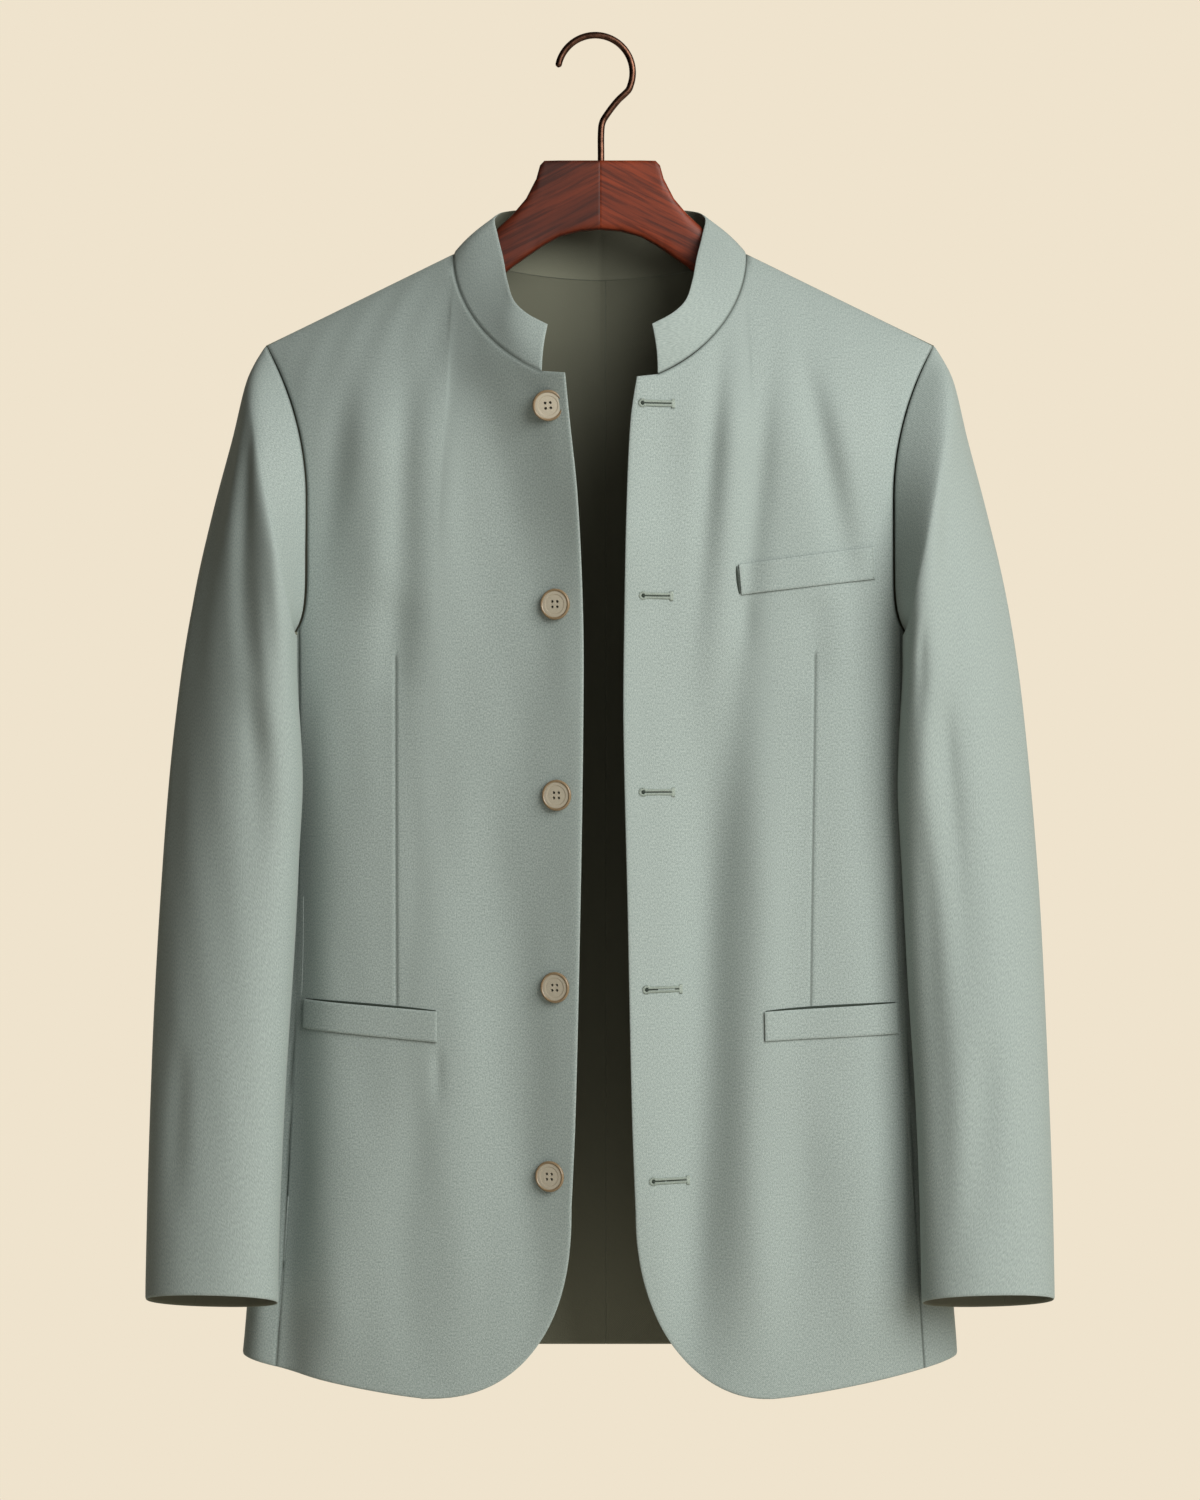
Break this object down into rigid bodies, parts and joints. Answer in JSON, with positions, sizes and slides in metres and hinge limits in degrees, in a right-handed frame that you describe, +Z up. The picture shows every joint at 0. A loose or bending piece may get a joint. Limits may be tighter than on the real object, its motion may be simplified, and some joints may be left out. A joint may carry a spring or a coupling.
{
  "type": "mandarin collar jacket on a hanger",
  "caption": "Long sleeved jacket with a mandarin collar, welt pockets and flat buttons, hanging open on a flat wooden hanger with a wire hook.",
  "frame": {"origin": "inside of the top of the hook, where a rail or nail carries it", "axes": "+Z up, -Y to the front of the garment, +X to the right as seen from the front"},
  "size_m": [0.61, 0.1681, 0.924],
  "materials": {
    "cloth": "matte sage green twill",
    "buttons": "satin horn with a brown rim",
    "hanger_wood": "satin dark walnut",
    "hook_metal": "dark bronze, satin"
  },
  "bodies": {
    "root": {"front_left": "cloth", "front_right": "cloth", "back_left": "cloth", "back_right": "cloth", "side_left": "cloth", "side_right": "cloth", "upper_sleeve_left": "cloth", "upper_sleeve_right": "cloth", "under_sleeve_left": "cloth", "under_sleeve_right": "cloth", "collar": "cloth", "breast_welt": "cloth", "pocket_welt_left": "cloth", "pocket_welt_right": "cloth", "button_1": "buttons", "button_2": "buttons", "button_3": "buttons", "button_4": "buttons", "button_5": "buttons", "hanger_left": "hanger_wood", "hanger_right": "hanger_wood", "hook": "hook_metal"}
  },
  "joints": []
}
